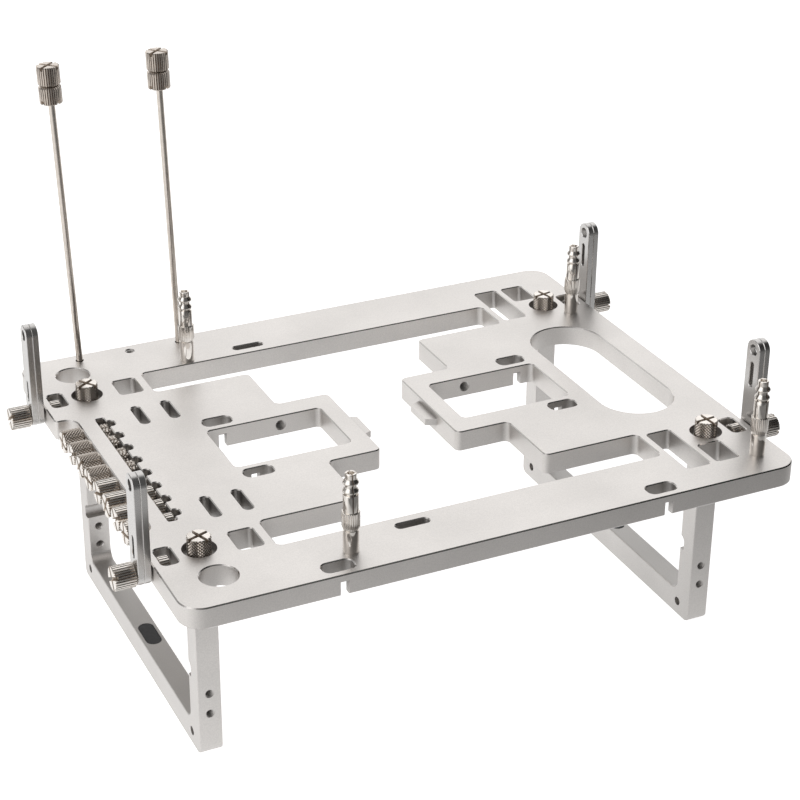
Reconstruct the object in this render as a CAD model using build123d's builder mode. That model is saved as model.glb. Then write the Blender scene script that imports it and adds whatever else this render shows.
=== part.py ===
from build123d import *
import math
import os

os.makedirs("parts", exist_ok=True)

# Open air test bench: a machined aluminium plate on two U-shaped leg frames.
# +Z is up, +X is to the right and +Y is to the back. The origin lies on the table under the
# plate's centre. All lengths are in millimetres.

# Plate
plate_w = 229.2
plate_d = 189.0
plate_t = 7.8
plate_top = 79.0
plate_corner_r = 8.0
plate_edge = 0.4
opening_edge = 0.35

# Screw thread and its holes
thread_r = 1.5
thread_gap = 0.1
turn_gap = 0.06
seat_gap = 0.05

# Thumbscrew, one pattern for the legs, the uprights and the spares
thumb_r = 4.2
thumb_len = 7.6
thumb_shank = 11.6
thumb_edge = 0.6
cross_l = 4.6
cross_w = 1.0
cross_depth = 0.9

# Central opening, an H with two noses
side_rail = 41.3
front_rail = 25.5
slot_w = 17.0
tongue_gap = 71.6
nose_gap = 30.0
nose_w = 48.1
opening_r = 2.3
tab_base = 15.6
tab_tip = 12.2
tab_len = 4.0
tab_drop = 2.2
tab_t = 2.6

# Windows between the board posts
window_l = 44.6
window_w = 29.3
window_r = 2.0
window_x = 44.65
cross_hole_x = 37.9
cross_hole_r = 2.1
cross_hole_depth = 12.0

# Nut pockets beside the windows and at the front edge
key_l = 11.0
key_w = 6.0
key_r = 2.5
key_x = 60.6
key_y = 20.45
key_front_wall = 2.75
notch_w = 3.1
notch_drop = 2.6

# Small slots and round holes of the plate
y_slot_l = 14.5
y_slot_w = 3.5
y_slot_inset = 30.1
y_slot_pitch = 11.5
y_slot_y = 36.45
x_slot_l = 12.3
x_slot_w = 3.4
x_slot_x = -27.2
x_slot_inset = 19.95
button_r = 6.35
button_inset = 16.3

# Left rectangular pockets, right pockets and the long right opening
left_pocket = (8.8, 12.2)
left_pocket_r = 1.5
left_pocket_inset = (33.3, 33.8)
long_pocket = (9.6, 27.6)
long_pocket_inset = (33.5, 27.05)
short_pocket = (9.2, 13.0)
short_pocket_inset = (21.4, 19.95)
right_pocket_r = 1.3
race_l = 79.0
race_w = 28.95
race_inset = 25.75

# Storage recess for the spare thumbscrews in the left edge
spare_count = 8
spare_pitch = 10.0
recess_depth = 7.4
recess_end = 4.8
recess_r = 5.0
mouth_r = 1.5
web_t = 6.6
spare_slot_w = 3.15
spare_slot_end = 1.3
spare_slot_r = 0.6
spare_notch_l = 2.6
spare_notch_w = 4.3
spare_notch_r = 1.5
spare_nut_r = 3.7

# Legs
leg_w = 8.4
leg_inset = (17.25, 34.25)
leg_bar_h = 10.0
leg_inner_r = 3.5
leg_outer_r = 2.5
leg_edge = 0.5
groove_top = 44.8
groove_h = 5.5
groove_depth = 2.5
post_hole_r = 1.6
post_hole_drop = 54.7
post_hole_pitch = 8.05
frame_hole_r = 1.65
frame_hole_rise = 5.55
frame_hole_inset = 7.35
stud_hole_depth = 14.0
leg_sink_r = 5.9
leg_sink_depth = 2.7
pad_l = 14.2
pad_w = 5.7
pad_gap = 0.1
pad_y = -1.5

# Uprights, two flat bars on each corner screw
bar_w = 7.8
bar_t = 2.3
bar_edge = 0.2
bar_rise = 36.7
side_gap = 0.45
bar_hole_r = 2.0
bar_slot_w = 2.1
inner_slot_low = 18.1
inner_slot_high = 28.0
outer_slot_low = 6.0
outer_slot_high = 14.3
side_wall = 2.8
side_pocket = (5.9, 11.0)
side_pocket_r = 1.8
side_nut_r = 3.8
side_nut_t = 3.8

# Board posts on the small board pattern
board_x = 157.48
board_y = 154.94
board_step = 22.86
post_inset = (61.6, 12.5)
post_base_r = 2.45
post_base_h = 8.5
post_stud = 6.0
post_collar_r = 3.05
post_collar_h = 6.5
post_collar_edge = 1.2
post_body_r = 2.6
post_body_h = 5.2
post_core_r = 1.85
bead_r = 2.6
bead_low = (0.3, 2.8)
bead_high = (4.0, 5.9)
post_tip_h = 3.2

# Card rods behind the plate's back edge
card_pitch = 20.32
rod_pitches = 2
rod_inset = (23.5, 5.0)
rod_r = 1.25
rod_bore_gap = 0.35
rod_depth = 5.0
rod_lean = [2.1, 1.7]
rod_nut_low = 105.2
rod_nut_h = 6.7
rod_screw_gap = 0.2
rod_screw_h = 7.3
rod_head_r = 4.2

# Places that follow from the sizes above
plate_bottom = plate_top - plate_t
axis_z = plate_top - plate_t / 2
side_x = plate_w / 2
edge_y = plate_d / 2
slot_l = plate_w - 2 * side_rail
slot_y = edge_y - front_rail - slot_w / 2
leg_x = side_x - leg_inset[0]
leg_y = edge_y - leg_inset[1]
y_slot_x = [-side_x + y_slot_inset, -side_x + y_slot_inset + y_slot_pitch]
x_slot_y = edge_y - x_slot_inset
button_y = edge_y - button_inset
left_pocket_x = -side_x + left_pocket_inset[0]
left_pocket_y = edge_y - left_pocket_inset[1]
long_pocket_x = side_x - long_pocket_inset[0]
long_pocket_y = edge_y - long_pocket_inset[1]
short_pocket_x = side_x - short_pocket_inset[0]
short_pocket_y = edge_y - short_pocket_inset[1]
race_x = side_x - race_inset
post_left_x = -side_x + post_inset[0]
post_front_y = -edge_y + post_inset[1]
rod_y = edge_y - rod_inset[1]
bore_r = thread_r + thread_gap
web_x = -side_x + recess_depth
slot_x = web_x + web_t
spare_y = [(i - (spare_count - 1) / 2) * spare_pitch for i in range(spare_count)]
recess_half = spare_y[-1] + thumb_r + recess_end
side_pocket_x = side_x - side_wall - side_pocket[0] / 2
bar_hole_rise = bar_rise - bar_w / 2
key_places = [(sx * key_x, sy * key_y) for sx in (-1, 1) for sy in (-1, 1)]
key_front_y = -edge_y + key_front_wall + key_w / 2
rod_x = [-side_x + rod_inset[0], -side_x + rod_inset[0] + rod_pitches * card_pitch]
post_places = {
    "front_left": (post_left_x, post_front_y),
    "front_right": (post_left_x + board_x, post_front_y),
    "back_left": (post_left_x, post_front_y + board_y),
    "back_right": (post_left_x + board_x, post_front_y + board_y - board_step),
}
corners = {
    "front_left": (-1, -1),
    "front_right": (1, -1),
    "back_left": (-1, 1),
    "back_right": (1, 1),
}


def turned_screw(head_r, head_len, shank_len, shank_r):
    """Half outline of a thumbscrew: radius first, then height above the head's seat."""
    return [
        (0, -shank_len),
        (shank_r - thread_gap, -shank_len),
        (shank_r, -shank_len + thread_gap),
        (shank_r, 0),
        (head_r - thumb_edge, 0),
        (head_r, thumb_edge),
        (head_r, head_len - thumb_edge),
        (head_r - thumb_edge, head_len),
        (0, head_len),
    ]


def turned_nut(nut_r, nut_t, hole_r, edge):
    """Half outline of a round nut, from its seat at height 0."""
    return [
        (hole_r, 0),
        (nut_r - edge, 0),
        (nut_r, edge),
        (nut_r, nut_t - edge),
        (nut_r - edge, nut_t),
        (hole_r, nut_t),
    ]


def turning_plane(point, direction):
    """Plane through a turned piece's axis: x is the radius and y runs along the axis."""
    axis = Vector(*direction).normalized()
    side = Vector(0, -1, 0)
    return Plane(origin=point, x_dir=axis.cross(side), z_dir=side)


# Machined plate: outline, H-shaped opening, pockets, slots, recess and counterbores.
with BuildPart() as base_plate:
    with BuildSketch(Plane.XY.offset(plate_bottom)):
        RectangleRounded(plate_w, plate_d, plate_corner_r)
        with Locations((-side_x, 0)):
            Rectangle(2 * recess_depth, 2 * recess_half, mode=Mode.SUBTRACT)
        recess_corners = vertices().filter_by_position(Axis.Y, -recess_half, recess_half)
        fillet(recess_corners.group_by(Axis.X)[0], radius=mouth_r)
        fillet(recess_corners.group_by(Axis.X)[-1], radius=recess_r)
    extrude(amount=plate_t)
    rim = base_plate.faces().sort_by(Axis.Z)[-1].outer_wire().edges()
    rim += base_plate.faces().sort_by(Axis.Z)[0].outer_wire().edges()
    chamfer(rim, length=plate_edge)

    with BuildSketch(Plane.XY.offset(plate_bottom)):
        with Locations((0, slot_y), (0, -slot_y)):
            Rectangle(slot_l, slot_w)
        Rectangle(tongue_gap, 2 * slot_y + slot_w)
        for side in (-1, 1):
            with Locations((side * (tongue_gap + nose_gap) / 4, 0)):
                Rectangle((tongue_gap - nose_gap) / 2, nose_w, mode=Mode.SUBTRACT)
        fillet(vertices(), radius=opening_r)
    extrude(amount=plate_t, mode=Mode.SUBTRACT)

    with BuildSketch(Plane.XY.offset(plate_top - tab_drop - tab_t)):
        for side in (-1, 1):
            nose_x = side * nose_gap / 2
            with BuildLine():
                Polyline(
                    (nose_x + side, -tab_base / 2),
                    (nose_x, -tab_base / 2),
                    (nose_x - side * tab_len, -tab_tip / 2),
                    (nose_x - side * tab_len, tab_tip / 2),
                    (nose_x, tab_base / 2),
                    (nose_x + side, tab_base / 2),
                    close=True,
                )
            make_face()
    extrude(amount=tab_t)

    with BuildSketch(Plane.XY.offset(plate_bottom)):
        with Locations((-window_x, 0), (window_x, 0)):
            RectangleRounded(window_l, window_w, window_r)
        with Locations(*key_places, (-key_x, key_front_y), (key_x, key_front_y)):
            RectangleRounded(key_l, key_w, key_r)
        with Locations(*[(x, side * y_slot_y) for x in y_slot_x for side in (-1, 1)]):
            SlotOverall(y_slot_l, y_slot_w, rotation=90)
        with Locations((x_slot_x, x_slot_y), (x_slot_x, -x_slot_y)):
            SlotOverall(x_slot_l, x_slot_w)
        with Locations((-leg_x, button_y), (-leg_x, -button_y)):
            Circle(button_r)
        with Locations((left_pocket_x, left_pocket_y), (left_pocket_x, -left_pocket_y)):
            RectangleRounded(*left_pocket, left_pocket_r)
        with Locations((long_pocket_x, long_pocket_y), (long_pocket_x, -long_pocket_y)):
            RectangleRounded(*long_pocket, right_pocket_r)
        with Locations((short_pocket_x, short_pocket_y), (short_pocket_x, -short_pocket_y)):
            RectangleRounded(*short_pocket, right_pocket_r)
        with Locations((race_x, 0)):
            SlotOverall(race_l, race_w, rotation=90)
        with Locations(*[(sx * side_pocket_x, sy * leg_y) for sx, sy in corners.values()]):
            RectangleRounded(*side_pocket, side_pocket_r)
        with Locations((sum(rod_x) / 2, rod_y)):
            Circle(bore_r)
        with Locations(*[(sx * leg_x, sy * leg_y) for sx, sy in corners.values()]):
            Circle(bore_r)
    extrude(amount=plate_t, mode=Mode.SUBTRACT)

    # Slot for the spare nuts with a notch behind each, cut right through
    with BuildSketch(Plane.XY.offset(plate_bottom)):
        with Locations((slot_x + spare_slot_w / 2, 0)):
            Rectangle(spare_slot_w, 2 * (spare_y[-1] + spare_nut_r + spare_slot_end))
        with Locations(*[(slot_x + (spare_slot_w + spare_notch_l) / 2, y) for y in spare_y]):
            Rectangle(spare_slot_w + spare_notch_l, spare_notch_w)
        notch_ends = vertices().group_by(Axis.X)[-1]
        fillet([v for v in vertices() if v not in notch_ends], radius=spare_slot_r)
        fillet(vertices().group_by(Axis.X)[-1], radius=spare_notch_r)
    extrude(amount=plate_t, mode=Mode.SUBTRACT)
    with BuildSketch(Plane.YZ.offset(web_x)):
        with Locations(*[(y, axis_z) for y in spare_y]):
            Circle(bore_r)
    extrude(amount=web_t, mode=Mode.SUBTRACT)

    # Broken edges of every opening in the top face
    top_face = base_plate.faces().sort_by(Axis.Z)[-1]
    chamfer([wire.edges() for wire in top_face.inner_wires()], length=opening_edge)

    # Open-bottom notches from the nut pockets to the windows and to the front edge
    with BuildSketch(Plane.XY.offset(plate_bottom)):
        for x, y in key_places:
            wall = abs(y) - key_w / 2 - window_w / 2
            mid = math.copysign(abs(y) - key_w / 2 - wall / 2, y)
            with Locations((x, mid)):
                Rectangle(notch_w, wall + key_w / 2)
        with Locations((-key_x, key_front_y - key_w / 2), (key_x, key_front_y - key_w / 2)):
            Rectangle(notch_w, 2 * key_front_wall)
    extrude(amount=plate_t - notch_drop, mode=Mode.SUBTRACT)

    # Counterbores of the leg screws, holes of the upright screws, posts and rods
    with BuildSketch(Plane.XY.offset(plate_top)):
        with Locations(*[(sx * leg_x, sy * leg_y) for sx, sy in corners.values()]):
            Circle(leg_sink_r)
    extrude(amount=-leg_sink_depth, mode=Mode.SUBTRACT)
    for side in (-1, 1):
        with BuildSketch(Plane.YZ.offset(side * side_x)):
            with Locations((-leg_y, axis_z), (leg_y, axis_z)):
                Circle(bore_r)
        extrude(amount=-side * (side_wall + side_pocket[0] / 2), mode=Mode.SUBTRACT)
    with BuildSketch(Plane.XY.offset(plate_top)):
        with Locations(*post_places.values()):
            Circle(bore_r)
    extrude(amount=-post_stud - thread_gap, mode=Mode.SUBTRACT)
    with BuildSketch(Plane.XY.offset(plate_top)):
        with Locations(*[(x, rod_y) for x in rod_x]):
            Circle(rod_r + rod_bore_gap)
    extrude(amount=-rod_depth - thread_gap, mode=Mode.SUBTRACT)

    # Tapped hole in the back wall of each window
    with BuildSketch(Plane.XZ.offset(-window_w / 2)):
        with Locations((-cross_hole_x, axis_z), (cross_hole_x, axis_z)):
            Circle(cross_hole_r)
    extrude(amount=-cross_hole_depth, mode=Mode.SUBTRACT)

base_plate.part.label = "base_plate"
export_step(base_plate.part, "parts/base_plate.step")

# Leg frames: a square-section U with a deeper bar on the table, its screw holes and pad.
for name, side in (("left", -1), ("right", 1)):
    x = side * leg_x
    outer_y = leg_y + leg_w / 2
    inner_y = leg_y - leg_w / 2
    with BuildPart() as leg_frame:
        with BuildSketch(Plane.YZ.offset(x - leg_w / 2)):
            with BuildLine():
                Polyline(
                    (-outer_y, 0),
                    (outer_y, 0),
                    (outer_y, plate_bottom),
                    (inner_y, plate_bottom),
                    (inner_y, leg_bar_h),
                    (-inner_y, leg_bar_h),
                    (-inner_y, plate_bottom),
                    (-outer_y, plate_bottom),
                    close=True,
                )
            make_face()
        extrude(amount=leg_w)
        across = leg_frame.edges().filter_by(Axis.X)
        low = across.group_by(Axis.Z)[0]
        bend = across.group_by(Axis.Z)[1]
        fillet(low, radius=leg_outer_r)
        fillet(bend, radius=leg_inner_r)
        long_edges = leg_frame.faces().filter_by(Axis.X).edges()
        top_edges = long_edges.group_by(Axis.Z)[-1]
        fillet([edge for edge in long_edges if edge not in top_edges], radius=leg_edge)

        # Groove across each post's inner face, rounded at its top
        for end in (-1, 1):
            face_y = end * inner_y
            deep_y = end * (inner_y + groove_depth)
            top = plate_top - groove_top
            bottom = top - groove_h
            with BuildSketch(Plane.YZ.offset(x - leg_w / 2)):
                with BuildLine():
                    Line((face_y, bottom), (deep_y, bottom))
                    Line((deep_y, bottom), (deep_y, top - groove_depth))
                    ThreePointArc(
                        (deep_y, top - groove_depth),
                        (
                            face_y + end * groove_depth * math.cos(math.pi / 4),
                            top - groove_depth * (1 - math.sin(math.pi / 4)),
                        ),
                        (face_y, top),
                    )
                    Line((face_y, top), (face_y, bottom))
                make_face()
            extrude(amount=leg_w, mode=Mode.SUBTRACT)

        # Holes along Y through the posts, along X through the corners, down into the tops
        with BuildSketch(Plane.XZ.offset(-outer_y)):
            for row in range(2):
                with Locations((x, plate_top - post_hole_drop - row * post_hole_pitch)):
                    Circle(post_hole_r)
        extrude(amount=2 * outer_y, mode=Mode.SUBTRACT)
        with BuildSketch(Plane.YZ.offset(x - leg_w / 2)):
            with Locations(
                (-outer_y + frame_hole_inset, frame_hole_rise),
                (outer_y - frame_hole_inset, frame_hole_rise),
            ):
                Circle(frame_hole_r)
        extrude(amount=leg_w, mode=Mode.SUBTRACT)
        with BuildSketch(Plane.XY.offset(plate_bottom)):
            with Locations((x, leg_y), (x, -leg_y)):
                Circle(bore_r)
        extrude(amount=-stud_hole_depth, mode=Mode.SUBTRACT)
        with BuildSketch(Plane.XY):
            with Locations((x, pad_y)):
                SlotOverall(pad_l + 2 * pad_gap, pad_w + 2 * pad_gap, rotation=90)
        extrude(amount=leg_bar_h, mode=Mode.SUBTRACT)
    leg_frame.part.label = f"leg_frame_{name}"
    export_step(leg_frame.part, f"parts/leg_frame_{name}.step")

    with BuildPart() as leg_pad:
        with BuildSketch(Plane.XY):
            with Locations((x, pad_y)):
                SlotOverall(pad_l, pad_w, rotation=90)
        extrude(amount=leg_bar_h)
    leg_pad.part.label = f"leg_pad_{name}"
    export_step(leg_pad.part, f"parts/leg_pad_{name}.step")

for name, (sx, sy) in corners.items():
    # Thumbscrew that clamps the plate on the leg's post
    seat = (sx * leg_x, sy * leg_y, plate_top - leg_sink_depth)
    with BuildPart() as leg_screw:
        with BuildSketch(turning_plane(seat, (0, 0, 1))):
            with BuildLine():
                Polyline(*turned_screw(thumb_r, thumb_len, thumb_shank, thread_r), close=True)
            make_face()
        revolve(axis=Axis(seat, (0, 0, 1)))
        with BuildSketch(Plane.XY.offset(seat[2] + thumb_len)):
            with Locations(seat[:2]):
                Rectangle(cross_l, cross_w)
                Rectangle(cross_w, cross_l)
        extrude(amount=-cross_depth, mode=Mode.SUBTRACT)
    leg_screw.part.label = f"leg_screw_{name}"
    export_step(leg_screw.part, f"parts/leg_screw_{name}.step")

    # Two flat bars with full-round ends, swinging on the corner screw
    pivot_y = sy * leg_y
    for layer, low, high in (
        ("inner", inner_slot_low, inner_slot_high),
        ("outer", outer_slot_low, outer_slot_high),
    ):
        step = 0 if layer == "inner" else bar_t
        near_x = sx * (side_x + side_gap + step)
        with BuildPart() as upright:
            with BuildSketch(Plane.YZ.offset(near_x)):
                with Locations((pivot_y, axis_z + bar_rise / 2 - bar_w / 4)):
                    SlotOverall(bar_rise + bar_w / 2, bar_w, rotation=90)
                with Locations((pivot_y, axis_z)):
                    Circle(thread_r + turn_gap, mode=Mode.SUBTRACT)
                with Locations((pivot_y, axis_z + bar_hole_rise)):
                    Circle(bar_hole_r, mode=Mode.SUBTRACT)
                with Locations((pivot_y, axis_z + (low + high) / 2)):
                    SlotOverall(high - low, bar_slot_w, rotation=90, mode=Mode.SUBTRACT)
            extrude(amount=sx * bar_t)
            chamfer(upright.faces().filter_by(Axis.X).edges(), length=bar_edge)
        upright.part.label = f"upright_{layer}_{name}"
        export_step(upright.part, f"parts/upright_{layer}_{name}.step")

    # Thumbscrew and nut that clamp the bars on the plate's side wall
    bars_x = sx * (side_x + side_gap + 2 * bar_t + seat_gap)
    seat = (bars_x, pivot_y, axis_z)
    outward = (sx, 0, 0)
    with BuildPart() as upright_screw:
        with BuildSketch(turning_plane(seat, outward)):
            with BuildLine():
                Polyline(*turned_screw(thumb_r, thumb_len, thumb_shank, thread_r), close=True)
            make_face()
        revolve(axis=Axis(seat, outward))
        with BuildSketch(Plane(origin=(bars_x + sx * thumb_len, pivot_y, axis_z), z_dir=outward)):
            Rectangle(cross_l, cross_w)
            Rectangle(cross_w, cross_l)
        extrude(amount=-cross_depth, mode=Mode.SUBTRACT)
    upright_screw.part.label = f"upright_screw_{name}"
    export_step(upright_screw.part, f"parts/upright_screw_{name}.step")

    nut_seat = (sx * (side_x - side_wall), pivot_y, axis_z)
    inward = (-sx, 0, 0)
    with BuildPart() as upright_nut:
        with BuildSketch(turning_plane(nut_seat, inward)):
            with BuildLine():
                Polyline(*turned_nut(side_nut_r, side_nut_t, bore_r, thumb_edge / 2), close=True)
            make_face()
        revolve(axis=Axis(nut_seat, inward))
    upright_nut.part.label = f"upright_nut_{name}"
    export_step(upright_nut.part, f"parts/upright_nut_{name}.step")

# Spare thumbscrews stored in the left recess, each with a round nut behind the web.
for number, y in enumerate(spare_y, 1):
    seat = (web_x, y, axis_z)
    with BuildPart() as spare_screw:
        with BuildSketch(turning_plane(seat, (-1, 0, 0))):
            with BuildLine():
                Polyline(*turned_screw(thumb_r, thumb_len, thumb_shank, thread_r), close=True)
            make_face()
        revolve(axis=Axis(seat, (-1, 0, 0)))
        with BuildSketch(Plane(origin=(web_x - thumb_len, y, axis_z), z_dir=(-1, 0, 0))):
            Rectangle(cross_l, cross_w)
            Rectangle(cross_w, cross_l)
        extrude(amount=-cross_depth, mode=Mode.SUBTRACT)
    spare_screw.part.label = f"spare_screw_{number}"
    export_step(spare_screw.part, f"parts/spare_screw_{number}.step")

    nut_seat = (slot_x + seat_gap, y, axis_z)
    with BuildPart() as spare_nut:
        with BuildSketch(turning_plane(nut_seat, (1, 0, 0))):
            with BuildLine():
                Polyline(
                    *turned_nut(spare_nut_r, spare_slot_w - 2 * seat_gap, bore_r, thumb_edge / 2),
                    close=True,
                )
            make_face()
        revolve(axis=Axis(nut_seat, (1, 0, 0)))
    spare_nut.part.label = f"spare_nut_{number}"
    export_step(spare_nut.part, f"parts/spare_nut_{number}.step")

# Board posts: a knurled foot screwed into the plate and a beaded catch above it.
for name, (x, y) in post_places.items():
    foot = (x, y, plate_top)
    collar_top = post_base_h + post_collar_h
    with BuildPart() as board_post_foot:
        with BuildSketch(turning_plane(foot, (0, 0, 1))):
            with BuildLine():
                Polyline(
                    (0, -post_stud),
                    (thread_r, -post_stud),
                    (thread_r, 0),
                    (post_base_r, 0),
                    (post_base_r, post_base_h),
                    (post_collar_r - post_collar_edge / 2, post_base_h),
                    (post_collar_r, post_base_h + post_collar_edge),
                    (post_collar_r, collar_top),
                    (0, collar_top),
                    close=True,
                )
            make_face()
        revolve(axis=Axis(foot, (0, 0, 1)))
    board_post_foot.part.label = f"board_post_foot_{name}"
    export_step(board_post_foot.part, f"parts/board_post_foot_{name}.step")

    body_top = collar_top + post_body_h
    bead_edge = (bead_r - post_core_r) / 2
    tip = body_top + bead_high[1] + post_tip_h
    with BuildPart() as board_post_catch:
        with BuildSketch(turning_plane(foot, (0, 0, 1))):
            with BuildLine():
                Polyline(
                    (0, collar_top),
                    (post_body_r, collar_top),
                    (post_body_r, body_top),
                    (post_core_r, body_top),
                    (post_core_r, body_top + bead_low[0]),
                    (bead_r, body_top + bead_low[0]),
                    (bead_r, body_top + bead_low[1] - bead_edge),
                    (bead_r - bead_edge, body_top + bead_low[1]),
                    (post_core_r, body_top + bead_low[1]),
                    (post_core_r, body_top + bead_high[0]),
                    (bead_r, body_top + bead_high[0] + bead_edge),
                    (bead_r, body_top + bead_high[1] - bead_edge),
                    (post_core_r, body_top + bead_high[1]),
                    (post_core_r, tip),
                    (0, tip),
                    close=True,
                )
            make_face()
        revolve(axis=Axis(foot, (0, 0, 1)))
    board_post_catch.part.label = f"board_post_catch_{name}"
    export_step(board_post_catch.part, f"parts/board_post_catch_{name}.step")

# Card rods with a nut and a thumbscrew that clamp a card's bracket between them.
for name, x, lean in zip(("left", "right"), rod_x, rod_lean):
    base = (x, rod_y, plate_top)
    along = (-math.sin(math.radians(lean)), 0, math.cos(math.radians(lean)))
    with BuildPart() as card_rod:
        with BuildSketch(turning_plane(base, along)):
            with BuildLine():
                Polyline(
                    (0, -rod_depth),
                    (rod_r, -rod_depth),
                    (rod_r, rod_nut_low + rod_nut_h / 2),
                    (0, rod_nut_low + rod_nut_h / 2),
                    close=True,
                )
            make_face()
        revolve(axis=Axis(base, along))
    card_rod.part.label = f"card_rod_{name}"
    export_step(card_rod.part, f"parts/card_rod_{name}.step")

    with BuildPart() as rod_nut:
        with BuildSketch(turning_plane(base, along)):
            with BuildLine():
                Polyline(
                    (rod_r + seat_gap, rod_nut_low),
                    (rod_head_r - thumb_edge, rod_nut_low),
                    (rod_head_r, rod_nut_low + thumb_edge),
                    (rod_head_r, rod_nut_low + rod_nut_h - thumb_edge),
                    (rod_head_r - thumb_edge, rod_nut_low + rod_nut_h),
                    (0, rod_nut_low + rod_nut_h),
                    (0, rod_nut_low + rod_nut_h / 2 + seat_gap),
                    (rod_r + seat_gap, rod_nut_low + rod_nut_h / 2 + seat_gap),
                    close=True,
                )
            make_face()
        revolve(axis=Axis(base, along))
    rod_nut.part.label = f"rod_nut_{name}"
    export_step(rod_nut.part, f"parts/rod_nut_{name}.step")

    cap_low = rod_nut_low + rod_nut_h
    cap_high = cap_low + rod_screw_gap + rod_screw_h
    with BuildPart() as rod_screw:
        with BuildSketch(turning_plane(base, along)):
            with BuildLine():
                Polyline(
                    (0, cap_low),
                    (thread_r, cap_low),
                    (thread_r, cap_low + rod_screw_gap),
                    (rod_head_r - thumb_edge, cap_low + rod_screw_gap),
                    (rod_head_r, cap_low + rod_screw_gap + thumb_edge),
                    (rod_head_r, cap_high - thumb_edge),
                    (rod_head_r - thumb_edge, cap_high),
                    (0, cap_high),
                    close=True,
                )
            make_face()
        revolve(axis=Axis(base, along))
        top = tuple(b + a * cap_high for b, a in zip(base, along))
        with BuildSketch(Plane(origin=top, z_dir=along)):
            Rectangle(cross_l, cross_w)
            Rectangle(cross_w, cross_l)
        extrude(amount=-cross_depth, mode=Mode.SUBTRACT)
    rod_screw.part.label = f"rod_screw_{name}"
    export_step(rod_screw.part, f"parts/rod_screw_{name}.step")
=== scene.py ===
import math

import bmesh
import bpy
from mathutils import Matrix, Vector


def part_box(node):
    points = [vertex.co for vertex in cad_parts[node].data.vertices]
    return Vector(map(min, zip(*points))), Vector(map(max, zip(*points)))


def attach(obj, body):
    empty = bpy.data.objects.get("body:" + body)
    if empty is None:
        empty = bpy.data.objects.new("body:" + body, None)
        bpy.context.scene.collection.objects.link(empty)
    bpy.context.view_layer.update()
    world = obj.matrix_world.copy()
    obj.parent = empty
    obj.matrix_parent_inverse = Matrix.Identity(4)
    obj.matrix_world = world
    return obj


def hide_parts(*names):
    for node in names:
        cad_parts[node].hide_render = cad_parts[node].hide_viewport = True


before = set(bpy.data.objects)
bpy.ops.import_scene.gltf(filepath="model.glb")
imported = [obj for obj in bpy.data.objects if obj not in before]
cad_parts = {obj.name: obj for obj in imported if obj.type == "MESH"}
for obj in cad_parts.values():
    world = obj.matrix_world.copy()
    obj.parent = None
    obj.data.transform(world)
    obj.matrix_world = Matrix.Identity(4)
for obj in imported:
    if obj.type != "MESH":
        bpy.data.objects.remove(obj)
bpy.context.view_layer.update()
bpy.ops.object.select_all(action="DESELECT")

# Studio: a white table top seen from the front left, under one faint soft box. Broad panels
# glow at the back, overhead and at the left. The room is dark by the camera and at the right,
# which gives polished metal its dark bands.
camera_data = bpy.data.cameras.new("camera")
camera_data.sensor_width = 36
camera_data.lens = 90.5587
camera_data.shift_x = 0.036382
camera_data.shift_y = -0.045443
camera = bpy.data.objects.new("camera", camera_data)
bpy.context.scene.collection.objects.link(camera)
camera.location = (-0.281206, -0.592769, 0.422333)
camera.rotation_euler = [math.radians(turn) for turn in (63.76613, -0.07964, -24.68909)]
bpy.context.scene.camera = camera
bpy.context.scene.view_settings.view_transform = "Standard"

lamp = bpy.data.lights.new("left_box", "AREA")
lamp.shape = "SQUARE"
lamp.size = 0.8
lamp.energy = 0.5
soft_box = bpy.data.objects.new("left_box", lamp)
bpy.context.scene.collection.objects.link(soft_box)
soft_box.location = (-0.89, -0.29, 1.22)
soft_box.rotation_euler = (-soft_box.location).to_track_quat("-Z", "Y").to_euler()

world = bpy.data.worlds.new("studio")
bpy.context.scene.world = world
world.use_nodes = True
sky = world.node_tree
sky.nodes.clear()
look = sky.nodes.new("ShaderNodeTexCoord")
room_light = 0.36
darkest = 0.03


def put(tree, value, socket):
    """Gives a socket a number or another node's output."""
    if isinstance(value, (int, float)):
        socket.default_value = value
    else:
        tree.links.new(value, socket)


def maths(tree, operation, *values):
    """Result of a Math node on its values."""
    node = tree.nodes.new("ShaderNodeMath")
    node.operation = operation
    for value, socket in zip(values, node.inputs):
        put(tree, value, socket)
    return node.outputs["Value"]


def glow(direction, outer, inner, strength):
    """Brightness of a soft patch of the room: its direction, how many degrees from there it
    ends and is full, and its strength."""
    towards = sky.nodes.new("ShaderNodeVectorMath")
    towards.operation = "DOT_PRODUCT"
    towards.inputs[1].default_value = Vector(direction).normalized()
    sky.links.new(look.outputs["Generated"], towards.inputs[0])
    patch = sky.nodes.new("ShaderNodeMapRange")
    patch.interpolation_type = "SMOOTHSTEP"
    patch.inputs["From Min"].default_value = math.cos(math.radians(outer))
    patch.inputs["From Max"].default_value = math.cos(math.radians(inner))
    patch.inputs["To Max"].default_value = strength
    sky.links.new(towards.outputs["Value"], patch.inputs["Value"])
    return patch.outputs["Result"]


panels = glow((0.37, 0.77, 0.55), 62, 25, 0.80)
for direction, outer, inner, strength in (
    ((-0.59, -0.19, 0.81), 45, 15, 0.15),
    ((-0.9, -0.3, 0.3), 42, 12, 1.0),
    ((0.3, -0.8, 0.45), 80, 35, -0.25),
    ((0.95, -0.15, 0.25), 50, 20, -0.34),
):
    panels = maths(sky, "ADD", panels, glow(direction, outer, inner, strength))
studio_light = maths(sky, "MAXIMUM", maths(sky, "ADD", panels, room_light), darkest)
camera_ray = sky.nodes.new("ShaderNodeLightPath")
backdrop = sky.nodes.new("ShaderNodeMix")
backdrop.inputs["B"].default_value = 1.0
background = sky.nodes.new("ShaderNodeBackground")
background.inputs["Color"].default_value = (1, 1, 1, 1)
world_out = sky.nodes.new("ShaderNodeOutputWorld")
sky.links.new(camera_ray.outputs["Is Camera Ray"], backdrop.inputs["Factor"])
sky.links.new(studio_light, backdrop.inputs["A"])
sky.links.new(backdrop.outputs["Result"], background.inputs["Strength"])
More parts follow.
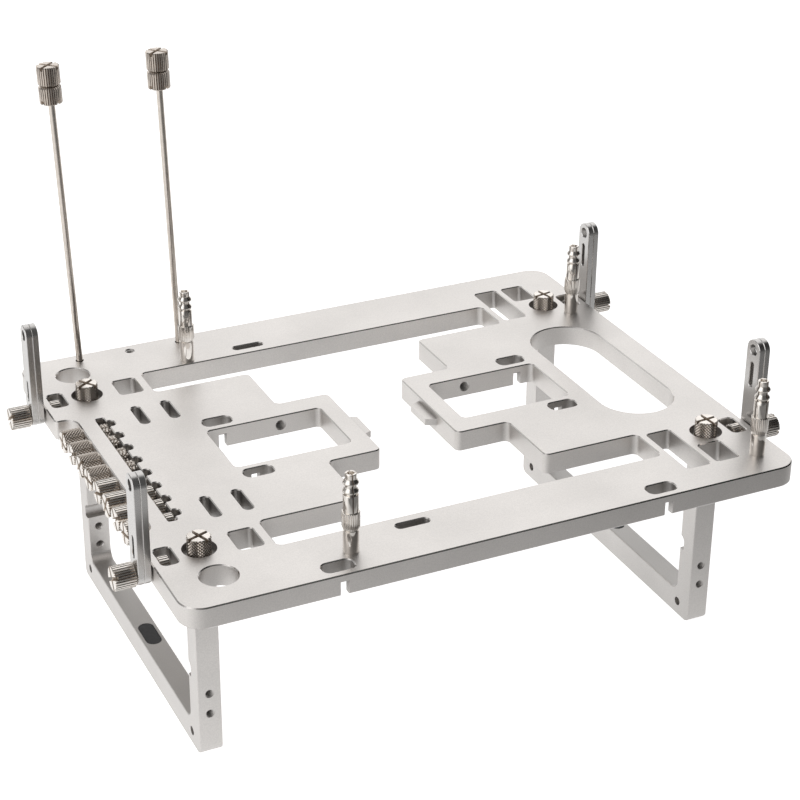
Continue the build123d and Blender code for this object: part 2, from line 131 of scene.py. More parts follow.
sky.links.new(background.outputs["Background"], world_out.inputs["Surface"])

# The table is plain white paper to the camera. The metal sees it glow as a light, less towards the
# front right, and with a painted shadow of the bench close round it.
table_drop = 0.0003
bpy.ops.mesh.primitive_plane_add(size=8, location=(0, 0, -table_drop))
table = bpy.context.object
table.name = "table_top"
paper = bpy.data.materials.new("white_paper")
paper.use_nodes = True
sheet = paper.node_tree
sheet.nodes.clear()
spot = sheet.nodes.new("ShaderNodeTexCoord")
away = sheet.nodes.new("ShaderNodeVectorMath")
away.operation = "DOT_PRODUCT"
away.inputs[1].default_value = (-1.2, 2.5, 0)
sheet.links.new(spot.outputs["Object"], away.inputs[0])
bounded = sheet.nodes.new("ShaderNodeClamp")
bounded.inputs["Min"].default_value = 0.2
bounded.inputs["Max"].default_value = 1.06
sheet.links.new(maths(sheet, "ADD", away.outputs["Value"], 1.05), bounded.inputs["Value"])
footprint = sheet.nodes.new("ShaderNodeVectorMath")
footprint.operation = "MULTIPLY"
footprint.inputs[1].default_value = (1 / 0.115, 1 / 0.095, 0)
sheet.links.new(spot.outputs["Object"], footprint.inputs[0])
reach = sheet.nodes.new("ShaderNodeVectorMath")
reach.operation = "LENGTH"
sheet.links.new(footprint.outputs["Vector"], reach.inputs[0])
# Painted shadow of the bench: the glow drops to 0.92 close round it.
bench_shadow_share = sheet.nodes.new("ShaderNodeMapRange")
bench_shadow_share.interpolation_type = "SMOOTHSTEP"
bench_shadow_share.inputs["From Min"].default_value = 0.7
bench_shadow_share.inputs["From Max"].default_value = 1.35
bench_shadow_share.inputs["To Min"].default_value = 0.92
sheet.links.new(reach.outputs["Value"], bench_shadow_share.inputs["Value"])
bounce = sheet.nodes.new("ShaderNodeEmission")
dimmed = maths(sheet, "MULTIPLY", bounded.outputs["Result"], bench_shadow_share.outputs["Result"])
sheet.links.new(dimmed, bounce.inputs["Strength"])
white = sheet.nodes.new("ShaderNodeBsdfDiffuse")
white.inputs["Color"].default_value = (0.9, 0.9, 0.9, 1)
lit = sheet.nodes.new("ShaderNodeEmission")
lit.inputs["Strength"].default_value = 0.75
seen = sheet.nodes.new("ShaderNodeAddShader")
seen_ray = sheet.nodes.new("ShaderNodeLightPath")
by_ray = sheet.nodes.new("ShaderNodeMixShader")
paper_out = sheet.nodes.new("ShaderNodeOutputMaterial")
sheet.links.new(white.outputs["BSDF"], seen.inputs[0])
sheet.links.new(lit.outputs["Emission"], seen.inputs[1])
sheet.links.new(seen_ray.outputs["Is Camera Ray"], by_ray.inputs["Fac"])
sheet.links.new(bounce.outputs["Emission"], by_ray.inputs[1])
sheet.links.new(seen.outputs["Shader"], by_ray.inputs[2])
sheet.links.new(by_ray.outputs["Shader"], paper_out.inputs["Surface"])
table.data.materials.append(paper)


# Leg frames: two square-section U frames milled from aluminium, with a silver anodised
# finish that keeps the fine lines of the cutter. They stand on their long bars.
def new_finish(name):
    """A new material, with its node tree, its shader and the place on the piece."""
    finish = bpy.data.materials.new(name)
    finish.use_nodes = True
    tree = finish.node_tree
    place = tree.nodes.new("ShaderNodeTexCoord")
    return finish, tree, tree.nodes["Principled BSDF"], place.outputs["Object"]


def noise(tree, place, scale, detail=2):
    """Noise of so many waves a metre."""
    node = tree.nodes.new("ShaderNodeTexNoise")
    node.inputs["Scale"].default_value = scale
    node.inputs["Detail"].default_value = detail
    tree.links.new(place, node.inputs["Vector"])
    return node.outputs["Fac"]


def tinted(tree, value, dark, light, ends=(0.3, 0.7)):
    """A colour between a dark and a light one, which it reaches at two ends of the value."""
    node = tree.nodes.new("ShaderNodeValToRGB")
    for element, end, colour in zip(node.color_ramp.elements, ends, (dark, light)):
        element.position = end
        element.color = (*colour, 1)
    tree.links.new(value, node.inputs["Fac"])
    return node.outputs["Color"]


def ranged(tree, value, low, high, out_low, out_high):
    """A value taken from one range to another."""
    node = tree.nodes.new("ShaderNodeMapRange")
    node.inputs["From Min"].default_value = low
    node.inputs["From Max"].default_value = high
    node.inputs["To Min"].default_value = out_low
    node.inputs["To Max"].default_value = out_high
    tree.links.new(value, node.inputs["Value"])
    return node.outputs["Result"]


def bumped(tree, height, strength, distance):
    """A bump node on a height."""
    node = tree.nodes.new("ShaderNodeBump")
    put(tree, strength, node.inputs["Strength"])
    node.inputs["Distance"].default_value = distance
    tree.links.new(height, node.inputs["Height"])
    return node


def satin_metal(name, colour, roughness, grain, streak, edge_axis=None, pocket_shade_reach=0, up_face_shade_share=1):
    """Anodised metal: fine blasted grain, a soft cloudiness and the cutter's lines on upright
    faces. Chamfers, which lean 45 degrees from the edge axis, are cut bright. The colour carries
    painted shade where the metal closes in within the pocket distance. Without pockets, the
    faces that look up carry painted shade down to the given share, as under a plate."""
    finish, tree, shader, place = new_finish(name)
    link = tree.links.new
    shader.inputs["Metallic"].default_value = 1
    facing = tree.nodes.new("ShaderNodeNewGeometry")
    split = tree.nodes.new("ShaderNodeSeparateXYZ")
    link(facing.outputs["Normal"], split.inputs["Vector"])

    darker = [part * 0.95 for part in colour]
    lighter = [part * 1.04 for part in colour]
    cloud = tinted(tree, noise(tree, place, 35, 3), darker, lighter)
    blast = noise(tree, place, 2600)
    speckle = ranged(tree, blast, 0.3, 0.7, 0.93, 1.05)
    # Painted shade: the colour is darkened where the metal closes in round pockets, or on faces
    # that look up.
    if pocket_shade_reach:
        shade_occlusion = tree.nodes.new("ShaderNodeAmbientOcclusion")
        shade_occlusion.only_local = True
        shade_occlusion.samples = 8
        shade_occlusion.inputs["Distance"].default_value = pocket_shade_reach
        painted_shade = ranged(tree, shade_occlusion.outputs["AO"], 0.2, 0.9, 0.45, 1)
    else:
        painted_shade = ranged(tree, split.outputs["Z"], 0.7, 1, 1, up_face_shade_share)
    tone_and_shade = tree.nodes.new("ShaderNodeVectorMath")
    tone_and_shade.operation = "SCALE"
    link(cloud, tone_and_shade.inputs[0])
    link(maths(tree, "MULTIPLY", speckle, painted_shade), tone_and_shade.inputs["Scale"])
    link(tone_and_shade.outputs["Vector"], shader.inputs["Base Color"])

    rough = ranged(tree, blast, 0, 1, roughness - 0.05, roughness + 0.05)
    link(rough, shader.inputs["Roughness"])
    if edge_axis:
        lean = maths(tree, "ABSOLUTE", split.outputs[edge_axis])
        bright = tree.nodes.new("ShaderNodeMix")
        bright.inputs["B"].default_value = 0.14
        link(maths(tree, "COMPARE", lean, math.sqrt(0.5), 0.08), bright.inputs["Factor"])
        link(rough, bright.inputs["A"])
        link(bright.outputs["Result"], shader.inputs["Roughness"])

    stretch = tree.nodes.new("ShaderNodeMapping")
    stretch.inputs["Scale"].default_value = (12, 12, 3200)
    link(place, stretch.inputs["Vector"])
    cutter = noise(tree, stretch.outputs["Vector"], 1)
    wall = ranged(tree, maths(tree, "ABSOLUTE", split.outputs["Z"]), 0, 1, streak, 0)
    lines = bumped(tree, cutter, wall, 0.00002)
    pits = bumped(tree, blast, grain, 0.00002)
    link(lines.outputs["Normal"], pits.inputs["Normal"])
    link(pits.outputs["Normal"], shader.inputs["Normal"])
    return finish


def dress(node, finish):
    """Gives a CAD node its finish."""
    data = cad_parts[node].data
    data.materials.clear()
    data.materials.append(finish)


# The legs' faces that look up carry painted shade, down to 0.6 of their colour, as under the
# plate.
leg_finish = satin_metal(
    "leg_anodised",
    colour=(0.715, 0.69, 0.667),
    roughness=0.45,
    grain=0.15,
    streak=0.35,
    up_face_shade_share=0.6,
)
for side in ("left", "right"):
    dress(f"leg_frame_{side}", leg_finish)

# Leg pads: black rubber plugs with rounded ends, pressed into a slot in the middle of each
# frame's long bar. They are flush with the bar and rest on the table.
rubber, rubber_tree, rubber_shader, rubber_place = new_finish("pad_rubber")
rubber_shader.inputs["Roughness"].default_value = 0.62
rubber_dust = noise(rubber_tree, rubber_place, 700, 4)
rubber_tone = tinted(rubber_tree, rubber_dust, (0.012, 0.012, 0.013), (0.04, 0.04, 0.042), (0, 1))
rubber_skin = bumped(rubber_tree, rubber_dust, 0.3, 0.00005)
rubber_tree.links.new(rubber_tone, rubber_shader.inputs["Base Color"])
rubber_tree.links.new(rubber_skin.outputs["Normal"], rubber_shader.inputs["Normal"])
for side in ("left", "right"):
    dress(f"leg_pad_{side}", rubber)

# Base plate: one piece of aluminium with every opening milled through, blasted and silver
# anodised. Its top is a light satin, and its walls keep the cutter's level lines.
# Narrow pockets, slots and holes in the plate carry painted shade where the metal closes in.
plate_finish = satin_metal(
    "plate_anodised",
    colour=(0.745, 0.716, 0.69),
    roughness=0.43,
    grain=0.3,
    streak=0.3,
    edge_axis="Z",
    pocket_shade_reach=0.0115,
)
dress("base_plate", plate_finish)

# Leg thumbscrews: turned brass, nickel plated, with a diamond knurl and a cross slot. One
# stands in a counterbore at each corner and clamps the plate on a leg's post.
thumb_r = 0.0042
thumb_len = 0.0076
thumb_edge = 0.0006
top_edge = 0.00025
edge_slope = 1.1
shank_r = 0.0015
shank_root = 0.002
shank_len = 0.0116
slot_wide = 0.0013
slot_deep = 0.0016
slot_taper = 0.55
driver_long = 0.0034
driver_wide = 0.0014
driver_deep = 0.0022
driver_taper = 0.45
knurl_deep = 0.0003
diamond_row = 0.0006
diamond_teeth = 22
straight_teeth = 29
cut_past = 0.0001
same_level = 0.00002
round_angle = math.radians(35)
leg_turn = {"front_left": 20, "front_right": 5, "back_left": 35, "back_right": 12}


def polished_metal(name, colour, groove_shade_colour, roughness):
    """Plated metal with faint turning marks, and painted shade in the knurl grooves, from their
    attribute.
    """
    finish, tree, shader, place = new_finish(name)
    link = tree.links.new
    shader.inputs["Metallic"].default_value = 1
    smear = noise(tree, place, 450, 4)
    darker = [part * 0.9 for part in colour]
    lighter = [part * 1.05 for part in colour]
    groove_shade = tree.nodes.new("ShaderNodeAttribute")
    groove_shade.attribute_name = "groove_shade"
    groove_shade_mix = tree.nodes.new("ShaderNodeMix")
    groove_shade_mix.data_type = "RGBA"
    groove_shade_mix.inputs["B"].default_value = (*groove_shade_colour, 1)
    link(groove_shade.outputs["Fac"], groove_shade_mix.inputs["Factor"])
    link(tinted(tree, smear, darker, lighter), groove_shade_mix.inputs["A"])
    link(groove_shade_mix.outputs["Result"], shader.inputs["Base Color"])
    rough = ranged(tree, smear, 0, 1, roughness - 0.06, roughness + 0.06)
    link(rough, shader.inputs["Roughness"])
    marks = bumped(tree, noise(tree, place, 3000), 0.12, 0.00001)
    link(marks.outputs["Normal"], shader.inputs["Normal"])
    return finish


# The groove colour of each plated finish is painted shade in its knurl grooves.
nickel = polished_metal(
    "bright_nickel",
    colour=(0.86, 0.81, 0.755),
    groove_shade_colour=(0.34, 0.28, 0.23),
    roughness=0.18,
)
slot_nickel = polished_metal(
    "slot_nickel",
    colour=(0.72, 0.64, 0.56),
    groove_shade_colour=(0.3, 0.25, 0.2),
    roughness=0.55,
)


def choose(piece, kind, test):
    """Selects, in edit mode, the vertices, edges or faces of a piece that pass a test."""
    if bpy.context.mode != "EDIT_MESH":
        bpy.context.view_layer.objects.active = piece
        bpy.ops.object.mode_set(mode="EDIT")
    bpy.ops.mesh.select_mode(type=kind)
    bpy.ops.mesh.select_all(action="DESELECT")
    shape = bmesh.from_edit_mesh(piece.data)
    shape.normal_update()
    every = {"VERT": shape.verts, "EDGE": shape.edges, "FACE": shape.faces}[kind]
    for element in every:
        if test(element):
            element.select_set(True)
    bmesh.update_edit_mesh(piece.data)


def narrow(share):
    """Scales the selection towards the turning axis."""
    bpy.ops.transform.resize(value=(share, share, 1), center_override=(0, 0, 0))


def rise(height):
    """Extrudes the selected end face along the turning axis."""
    bpy.ops.mesh.extrude_region_move(TRANSFORM_OT_translate={"value": (0, 0, height)})


def is_end(face, height):
    """Whether a face is the flat round end of a turned piece at that height."""
    level = abs(face.calc_center_median().z - height) < same_level
    return level and abs(face.normal.z) > 0.99 and len(face.verts) > 8


def is_upright(edge):
    """Whether an edge runs along the turning axis."""
    first, second = edge.verts
    return abs(first.co.z - second.co.z) > 10 * same_level


def spoke(vert, count):
    """Number of the spoke that a vertex lies on, of so many round the axis."""
    return round(math.atan2(vert.co.y, vert.co.x) / math.tau * count) % count


def knurled_blank(name, radius, high, edges, teeth, diamond):
    """A knurled cylinder along Z from 0 with its low and high chamfer, closed and in edit mode."""
    spokes = 2 * teeth if diamond else 4 * teeth
    low_edge, high_edge = edges
    depth = high - low_edge - high_edge
    bpy.ops.mesh.primitive_cylinder_add(
        vertices=spokes, radius=radius, depth=depth, location=(0, 0, low_edge + depth / 2)
    )
    piece = bpy.context.object
    piece.name = name
    bpy.ops.object.transform_apply(location=True)
    share = 1 - knurl_deep / radius
    if diamond:
        rows = 2 * round(depth / diamond_row / 2)
        step = depth / rows
        choose(piece, "EDGE", is_upright)
        bpy.ops.mesh.subdivide(number_cuts=rows - 1)
        choose(
            piece,
            "VERT",
            lambda v: (spoke(v, spokes) + round((v.co.z - low_edge) / step)) % 2 == 1,
        )
        narrow(share)
        choose(piece, "FACE", lambda f: len(f.verts) == 4)
        bpy.ops.mesh.quads_convert_to_tris(quad_method="SHORTEST_DIAGONAL")
    else:
        choose(piece, "VERT", lambda v: spoke(v, spokes) % 4 == 0)
        narrow(share)
    for end, way, edge in ((high - high_edge, 1, high_edge), (low_edge, -1, low_edge)):
        choose(piece, "FACE", lambda f: is_end(f, end))
        rise(way * edge)
        narrow(1 - edge_slope * edge / radius)
    return piece


def finish_mesh(piece, angle=round_angle):
    """Back in object mode with faces outwards, and smooth where they meet below the angle."""
    bpy.ops.mesh.select_all(action="SELECT")
    bpy.ops.mesh.remove_doubles(threshold=1e-7)
    bpy.ops.mesh.normals_make_consistent(inside=False)
    bpy.ops.object.mode_set(mode="OBJECT")
    bpy.ops.object.select_all(action="DESELECT")
    piece.select_set(True)
    bpy.context.view_layer.objects.active = piece
    bpy.ops.object.shade_smooth_by_angle(angle=angle)


def combine(piece, other, operation):
    """Adds another shape to a piece or takes it out, and removes the other."""
    bpy.ops.object.select_all(action="DESELECT")
    bpy.context.view_layer.objects.active = piece
    change = piece.modifiers.new("change", "BOOLEAN")
    change.operation = operation
    change.solver = "EXACT"
    change.material_mode = "TRANSFER"
    change.object = other
    bpy.ops.object.modifier_apply(modifier="change")
    bpy.data.objects.remove(other)


def cut(piece, cutter):
    """Takes the cutter's shape out of a piece."""
    combine(piece, cutter, "DIFFERENCE")


def cross_cutter(length, width, low, high, taper=1.0):
    """Two crossed bars, narrower at the bottom by the taper."""
    bars = []
    for turn in (0, math.pi / 2):
        bpy.ops.mesh.primitive_cube_add(size=1, location=(0, 0, (low + high) / 2))
        bar = bpy.context.object
        bar.scale = (length, width, high - low)
        bar.rotation_euler.z = turn
        bpy.ops.object.transform_apply(location=True, rotation=True, scale=True)
        choose(bar, "FACE", lambda f: f.normal.z < -0.9)
        narrow(taper)
        bpy.ops.object.mode_set(mode="OBJECT")
        bar.data.materials.append(slot_nickel)
        bars.append(bar)
    first, second = bars
    combine(first, second, "UNION")
    return first


def cut_cross(piece, radius, high):
    """Cuts a cross slot, and a deeper driver recess in its middle, into a knurled piece."""
    top = high + cut_past
    cut(piece, cross_cutter(3 * radius, slot_wide, high - slot_deep, top, slot_taper))
    cut(piece, cross_cutter(driver_long, driver_wide, high - driver_deep, top, driver_taper))


def mark_groove_shade(piece, radius, deep, low, high):
    """Stores how far each point lies in the knurl, for the painted shade in the grooves."""
    groove_shade = piece.data.attributes.new("groove_shade", "FLOAT", "POINT")
    for number, vert in enumerate(piece.data.vertices):
        inside = (radius - math.hypot(vert.co.x, vert.co.y)) / deep
        knurled = low <= vert.co.z <= high
        groove_shade.data[number].value = min(1, max(0, inside)) if knurled else 0


def thumbscrew(name, teeth, diamond):
    """A thumbscrew with its seat at the origin and its head along Z."""
    piece = knurled_blank(name, thumb_r, thumb_len, (thumb_edge, top_edge), teeth, diamond)
    finish_mesh(piece)
    piece.data.materials.append(nickel)
    bpy.ops.mesh.primitive_cylinder_add(
        vertices=32,
        radius=shank_r,
        depth=shank_len + shank_root,
        location=(0, 0, (shank_root - shank_len) / 2),
    )
    shank = bpy.context.object
    bpy.ops.object.shade_smooth_by_angle(angle=round_angle)
    shank.data.materials.append(nickel)
    combine(piece, shank, "UNION")
    cut_cross(piece, thumb_r, thumb_len)
    mark_groove_shade(piece, thumb_r, knurl_deep, thumb_edge / 2, thumb_len - top_edge / 2)
    return piece


def place_copy(pattern, name, seat, direction, turn=0):
    """A copy of a modelled piece on the bench, with its Z axis in a direction, after a turn in
    degrees about that axis."""
    bpy.ops.object.select_all(action="DESELECT")
    pattern.select_set(True)
    bpy.context.view_layer.objects.active = pattern
    bpy.ops.object.duplicate(linked=False)
    piece = bpy.context.object
    piece.name = name
    along = Vector(direction).to_track_quat("Z", "X").to_matrix().to_4x4()
    spin = Matrix.Rotation(math.radians(turn), 4, "Z")
    piece.matrix_world = Matrix.Translation(seat) @ along @ spin
    bpy.ops.object.transform_apply(location=True, rotation=True, scale=True)
    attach(piece, "bench")
    return piece


def fit_copy(pattern, name, seat, direction, turn, node):
    """A copy of a modelled piece on its seat, in place of its CAD node."""
    piece = place_copy(pattern, name, seat, direction, turn)
    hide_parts(node)


def middle(node):
    """Centre of a CAD node's box."""
    low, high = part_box(node)
    return (low + high) / 2


corners = ("front_left", "front_right", "back_left", "back_right")
diamond_screw = thumbscrew("diamond_screw", diamond_teeth, True)
for corner in corners:
    node = f"leg_screw_{corner}"
    seat = middle(node)
    seat.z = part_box(node)[1].z - thumb_len
    name = f"leg_thumbscrew_{corner}"
    fit_copy(diamond_screw, name, seat, (0, 0, 1), leg_turn[corner], node)

# Uprights: two flat aluminium bars with full-round ends swing on each corner's side screw, the
# inner one with its slot higher up. The faces are ground and the edges lightly broken.
upright_finish = satin_metal(
    "ground_aluminium",
    colour=(0.61, 0.595, 0.58),
    roughness=0.24,
    grain=0.15,
    streak=0.25,
    edge_axis="X",
)
for corner in corners:
    for layer in ("inner", "outer"):
        dress(f"upright_{layer}_{corner}", upright_finish)

# Side thumbscrews: the same turned pattern with a straight knurl. Each goes through both
# bars and the plate's side wall into a round knurled nut in the pocket behind it.
side_nut_r = 0.0038
side_nut_t = 0.0038
side_nut_teeth = 25
nut_edge = thumb_edge / 2
bore_r = shank_r + 0.0001
side_turn = {"front_left": 30, "front_right": 10, "back_left": 40, "back_right": 0}


def round_nut(name, radius, thick, teeth, diamond):
    """A round knurled nut with its seat at the origin."""
    piece = knurled_blank(name, radius, thick, (nut_edge, nut_edge), teeth, diamond)
    finish_mesh(piece)
    piece.data.materials.append(nickel)
    bpy.ops.mesh.primitive_cylinder_add(
        vertices=32, radius=bore_r, depth=4 * thick, location=(0, 0, thick / 2)
    )
    drill = bpy.context.object
    drill.data.materials.append(nickel)
    cut(piece, drill)
    mark_groove_shade(piece, radius, knurl_deep, nut_edge / 2, thick - nut_edge / 2)
    return piece


straight_screw = thumbscrew("straight_screw", straight_teeth, False)
side_nut = round_nut("side_nut", side_nut_r, side_nut_t, side_nut_teeth, False)
for corner in corners:
    out = -1 if "left" in corner else 1
    node = f"upright_screw_{corner}"
    low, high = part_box(node)
    seat = middle(node)
    seat.x = low.x + thumb_len if out < 0 else high.x - thumb_len
    name = f"side_thumbscrew_{corner}"
    fit_copy(straight_screw, name, seat, (out, 0, 0), side_turn[corner], node)
    node = f"upright_nut_{corner}"
    low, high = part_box(node)
    seat = middle(node)
    seat.x = high.x if out > 0 else low.x
    fit_copy(side_nut, f"side_knurled_nut_{corner}", seat, (-out, 0, 0), 0, node)

# Spare thumbscrews: eight more are kept in the recess in the left edge, four with each
# knurl. A round nut in the slot behind the web holds each of them.
spare_count = 8
spare_nut_r = 0.0037
spare_nut_t = 0.00305
straight_nut_teeth = 24
diamond_nut_teeth = 21
spare_turns = [10, 35, 62, 20, 5, 50, 28, 75]
straight_nut = round_nut("straight_nut", spare_nut_r, spare_nut_t, straight_nut_teeth, False)
diamond_nut = round_nut("diamond_nut", spare_nut_r, spare_nut_t, diamond_nut_teeth, True)
for number in range(1, spare_count + 1):
    plain = number <= spare_count // 2
    node = f"spare_screw_{number}"
    seat = middle(node)
    seat.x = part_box(node)[0].x + thumb_len
    screw = straight_screw if plain else diamond_screw
    turn = spare_turns[number - 1]
    fit_copy(screw, f"spare_thumbscrew_{number}", seat, (-1, 0, 0), turn, node)
    node = f"spare_nut_{number}"
    seat = middle(node)
    seat.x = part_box(node)[0].x
    nut = straight_nut if plain else diamond_nut
    turn = spare_turns[-number]
    fit_copy(nut, f"spare_knurled_nut_{number}", seat, (1, 0, 0), turn, node)

# Board posts: a polished nickel foot with a coarse straight knurl is screwed into the plate,
# and a slit catch with two sprung beads stands on it to click into a board's hole.
foot_top = 0.015
collar_low = 0.0085
collar_slope = 0.0012
collar_edge = 0.0002
collar_r = 0.0031
collar_teeth = 26
collar_deep = 0.00014
foot_rings = [
    (0.0013, -0.006),
    (0.0015, -0.0058),
    (0.0015, -0.0002),
    (0.0025, -0.0002),
    (0.0027, 0.0001),
    (0.0027, 0.0083),
    (0.0025, 0.0084),
    (0.0025, 0.0086),
    (0.0026, collar_low + 0.0001),
    (collar_r, collar_low + collar_slope),
    (collar_r, foot_top - collar_edge),
    (collar_r - collar_edge, foot_top),
]
catch_top = 0.0139
catch_rings = [
    (0.0026, 0.0),
    (0.0026, 0.0062),
    (0.00248, 0.0064),
    (0.00195, 0.0064),
    (0.0019, 0.0068),
    (0.0026, 0.0072),
    (0.0027, 0.0074),
    (0.0027, 0.0077),
    (0.0025, 0.0081),
    (0.0020, 0.0087),
    (0.0019, 0.0091),
    (0.0019, 0.0099),
    (0.0026, 0.0103),
    (0.0027, 0.0105),
    (0.0027, 0.0108),
    (0.0025, 0.0112),
    (0.0020, 0.0118),
    (0.0019, 0.0121),
    (0.00195, 0.0124),
    (0.00195, 0.0137),
    (0.0018, catch_top),
]
catch_turn = {"front_left": -7, "front_right": 10, "back_left": 30, "back_right": 5}
slit_long = 0.006
slit_wide = 0.0004
slit_low = 0.0002
mouth_deep = 0.0024
mouth_low_r = 0.0007
mouth_top_r = 0.0012
post_nickel = polished_metal(
    "post_nickel",
    colour=(0.84, 0.795, 0.745),
    groove_shade_colour=(0.60, 0.55, 0.50),
    roughness=0.09,
)


def turned_rings(name, rings, vertices=48):
    """A turned piece along Z from its rings, each a radius and a height, lowest first."""
    radius, low = rings[0]
    bpy.ops.mesh.primitive_circle_add(
        vertices=vertices, radius=radius, fill_type="NGON", location=(0, 0, low)
    )
    piece = bpy.context.object
    piece.name = name
    bpy.ops.object.transform_apply(location=True)
    choose(piece, "FACE", lambda f: True)
    for wide, high in rings[1:]:
        rise(high - low)
        if abs(wide - radius) > 1e-7:
            narrow(wide / radius)
        radius, low = wide, high
    return piece


post_foot = turned_rings("post_foot", foot_rings, 4 * collar_teeth)
knurl_low = collar_low + collar_slope / 2
choose(
    post_foot,
    "VERT",
    lambda v: spoke(v, 4 * collar_teeth) % 4 == 0 and v.co.z > knurl_low,
)
narrow(1 - collar_deep / collar_r)
finish_mesh(post_foot)
mark_groove_shade(post_foot, collar_r, collar_deep, knurl_low, foot_top - collar_edge / 2)
post_foot.data.materials.append(post_nickel)

post_catch = turned_rings("post_catch", catch_rings)
finish_mesh(post_catch)
post_catch.data.materials.append(post_nickel)
cut(post_catch, cross_cutter(slit_long, slit_wide, slit_low, catch_top + cut_past))
bpy.ops.mesh.primitive_cone_add(
    vertices=24,
    radius1=mouth_low_r,
    radius2=mouth_top_r,
    depth=mouth_deep + cut_past,
    location=(0, 0, catch_top + (cut_past - mouth_deep) / 2),
)
countersink = bpy.context.object
countersink.data.materials.append(post_nickel)
cut(post_catch, countersink)

for corner in corners:
    node = f"board_post_foot_{corner}"
    seat = middle(node)
    seat.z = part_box(node)[1].z - foot_top
    fit_copy(post_foot, f"post_foot_{corner}", seat, (0, 0, 1), 0, node)
    node = f"board_post_catch_{corner}"
    seat = middle(node)
    seat.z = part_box(node)[0].z
    turn = catch_turn[corner]
    fit_copy(post_catch, f"post_catch_{corner}", seat, (0, 0, 1), turn, node)

# Card rods: two thin polished steel rods lean out of the plate's back edge. A blind knurled
# nut on each rod and a thumbscrew in it clamp the bracket of a card between them.
rod_lean = {"left": 2.1, "right": 1.7}
cap_r = 0.0042
cap_teeth = 30
nut_h = 0.0067
cap_h = 0.0073
card_gap = 0.0002
nut_turn = 25
cap_turn = 40
rod_steel = polished_metal(
    "rod_steel",
    colour=(0.70, 0.64, 0.58),
    groove_shade_colour=(0.10, 0.075, 0.06),
    roughness=0.16,
)
cap_nickel = polished_metal(
    "cap_nickel",
    colour=(0.62, 0.555, 0.495),
    groove_shade_colour=(0.20, 0.155, 0.125),
    roughness=0.22,
)

rod_nut = knurled_blank("rod_nut", cap_r, nut_h, (top_edge, thumb_edge), cap_teeth, False)
finish_mesh(rod_nut)
rod_nut.data.materials.append(cap_nickel)
cut(rod_nut, cross_cutter(3 * cap_r, slot_wide, -slot_deep, slot_deep))
mark_groove_shade(rod_nut, cap_r, knurl_deep, top_edge / 2, nut_h - thumb_edge / 2)
rod_cap = knurled_blank("rod_cap", cap_r, cap_h, (thumb_edge, top_edge), cap_teeth, False)
finish_mesh(rod_cap)
rod_cap.data.materials.append(cap_nickel)
cut_cross(rod_cap, cap_r, cap_h)
mark_groove_shade(rod_cap, cap_r, knurl_deep, thumb_edge / 2, cap_h - top_edge / 2)
for side, lean in rod_lean.items():
    dress(f"card_rod_{side}", rod_steel)
    along = Vector((-math.sin(math.radians(lean)), 0, math.cos(math.radians(lean))))
    node = f"rod_nut_{side}"
    nut_seat = middle(node) - along * nut_h / 2
    fit_copy(rod_nut, f"rod_knurled_nut_{side}", nut_seat, along, nut_turn, node)
    cap_seat = nut_seat + along * (nut_h + card_gap)
    fit_copy(rod_cap, f"rod_thumbscrew_{side}", cap_seat, along, cap_turn, f"rod_screw_{side}")

# Recess corners: the cutter that milled the storage recess left a round in both of its inner
# corners. Each is a corner block of the plate's metal with the cutter's path taken out.
recess_x = -0.1072
recess_half = 0.044
recess_r = 0.005
plate_edge = 0.0004
plate_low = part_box("base_plate")[0].z
plate_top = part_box("base_plate")[1].z
plate_t = plate_top - plate_low
block = recess_r + plate_edge
path_rings = [
    (recess_r + 2 * plate_edge, -plate_edge),
    (recess_r, plate_edge),
    (recess_r, plate_t - plate_edge),
    (recess_r + 2 * plate_edge, plate_t + plate_edge),
]
for end, name in ((-1, "recess_corner_front"), (1, "recess_corner_back")):
    bpy.ops.mesh.primitive_cube_add(size=1)
    corner_block = bpy.context.object
    corner_block.name = name
    corner_block.scale = (block, block, plate_t)
    corner_block.location = (
        recess_x + plate_edge - block / 2,
        end * (recess_half + plate_edge - block / 2),
        (plate_low + plate_top) / 2,
    )
    bpy.ops.object.transform_apply(location=True, rotation=True, scale=True)
    choose(corner_block, "FACE", lambda f: True)
    finish_mesh(corner_block)
    corner_block.data.materials.append(plate_finish)
    path_cutter = turned_rings("path_cutter", path_rings, 96)
    bpy.ops.object.mode_set(mode="OBJECT")
    path_cutter.data.materials.append(plate_finish)
    path_cutter.location = (recess_x - recess_r, end * (recess_half - recess_r), plate_low)
    bpy.ops.object.transform_apply(location=True)
    cut(corner_block, path_cutter)
    bpy.ops.object.select_all(action="DESELECT")
    corner_block.select_set(True)
    bpy.ops.object.shade_smooth_by_angle(angle=round_angle)
    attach(corner_block, "bench")

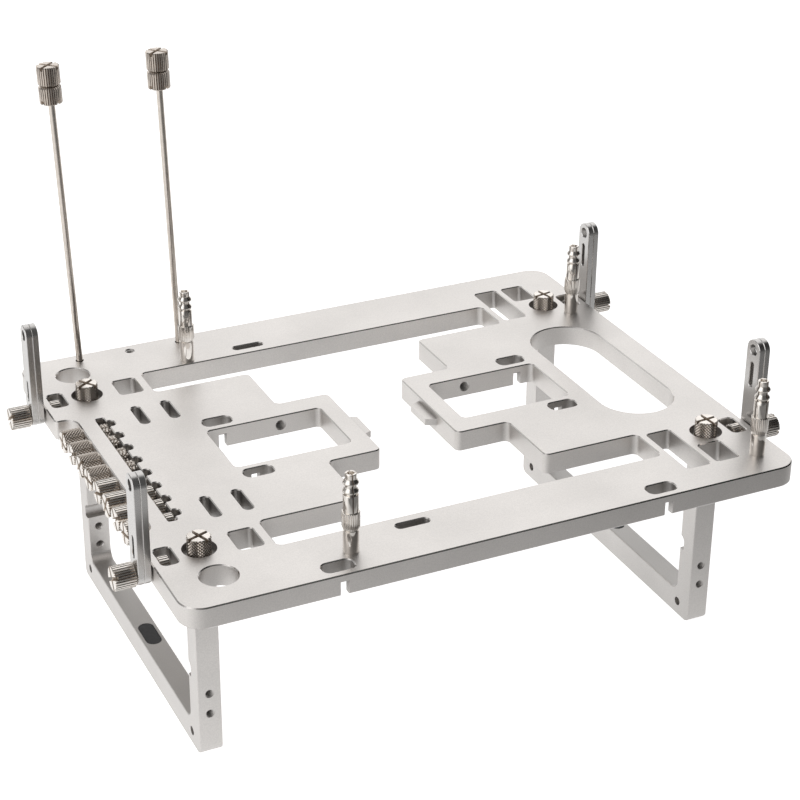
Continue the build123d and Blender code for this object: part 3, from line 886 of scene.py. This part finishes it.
# Tapped holes: two through each leg post, one in the back wall of each window and one on the
# plate's back edge. The thread of each is a turned sleeve of V grooves that lines the hole.
small_r = 0.00161
large_r = 0.00211
thread_pitch = 0.0005
thread_deep = 0.0003
thread_crest = 0.00005
mouth_in = 0.0002
plate_mouth_in = 0.0005
sleeve_angle = math.radians(20)
leg_w = 0.0084
post_hole_drop = 0.0547
post_hole_pitch = 0.00805
window_hole_len = 0.0115
window_hole_x = 0.0379
window_wall = 0.01465
edge_hole = (-0.07078, 0.0895)
# The thread's colour is darker than the plate's, partly for the raw cut aluminium and partly as
# painted shade in the holes.
thread_raw_and_shade = satin_metal(
    "tapped_thread",
    colour=(0.62, 0.60, 0.58),
    roughness=0.4,
    grain=0.1,
    streak=0,
)


def tapped_sleeve(name, radius, length):
    """A sleeve along Z from 0 with V grooves inside, closed on itself."""
    turns = round(length / thread_pitch)
    pitch = length / turns
    rings = [(radius, 0), (radius, length)]
    for turn in reversed(range(turns)):
        rings.append((radius - thread_deep, (turn + 0.25) * pitch))
        rings.append((radius - thread_crest, turn * pitch))
    wide, low = rings[0]
    bpy.ops.mesh.primitive_circle_add(vertices=28, radius=wide, location=(0, 0, low))
    piece = bpy.context.object
    piece.name = name
    choose(piece, "EDGE", lambda e: True)
    for next_wide, next_low in rings[1:] + rings[:1]:
        rise(next_low - low)
        narrow(next_wide / wide)
        wide, low = next_wide, next_low
    finish_mesh(piece, sleeve_angle)
    piece.data.materials.append(thread_raw_and_shade)
    return piece


post_thread = tapped_sleeve("post_thread", small_r, leg_w - 2 * mouth_in)
for side in ("left", "right"):
    low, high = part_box(f"leg_frame_{side}")
    for end, face_y, way in (("front", low.y, 1), ("back", high.y, -1)):
        for row in range(2):
            mouth = Vector(((low.x + high.x) / 2, face_y + way * mouth_in, 0))
            mouth.z = plate_top - post_hole_drop - row * post_hole_pitch
            name = f"post_thread_{side}_{end}_{row + 1}"
            place_copy(post_thread, name, mouth, (0, way, 0))
window_thread = tapped_sleeve("window_thread", large_r, window_hole_len)
for side, way in (("left", -1), ("right", 1)):
    mouth = Vector((way * window_hole_x, window_wall + mouth_in, plate_top - plate_t / 2))
    sleeve = place_copy(window_thread, f"window_thread_{side}", mouth, (0, 1, 0))
edge_thread = tapped_sleeve("edge_thread", small_r, plate_t - 2 * plate_mouth_in)
mouth = Vector((*edge_hole, plate_top - plate_mouth_in))
sleeve = place_copy(edge_thread, "edge_thread_middle", mouth, (0, 0, -1))

# The pieces that were only copied from are put away.
for pattern in (
    post_thread,
    window_thread,
    edge_thread,
    diamond_screw,
    straight_screw,
    side_nut,
    straight_nut,
    diamond_nut,
    post_foot,
    post_catch,
    rod_nut,
    rod_cap,
):
    bpy.data.objects.remove(pattern)
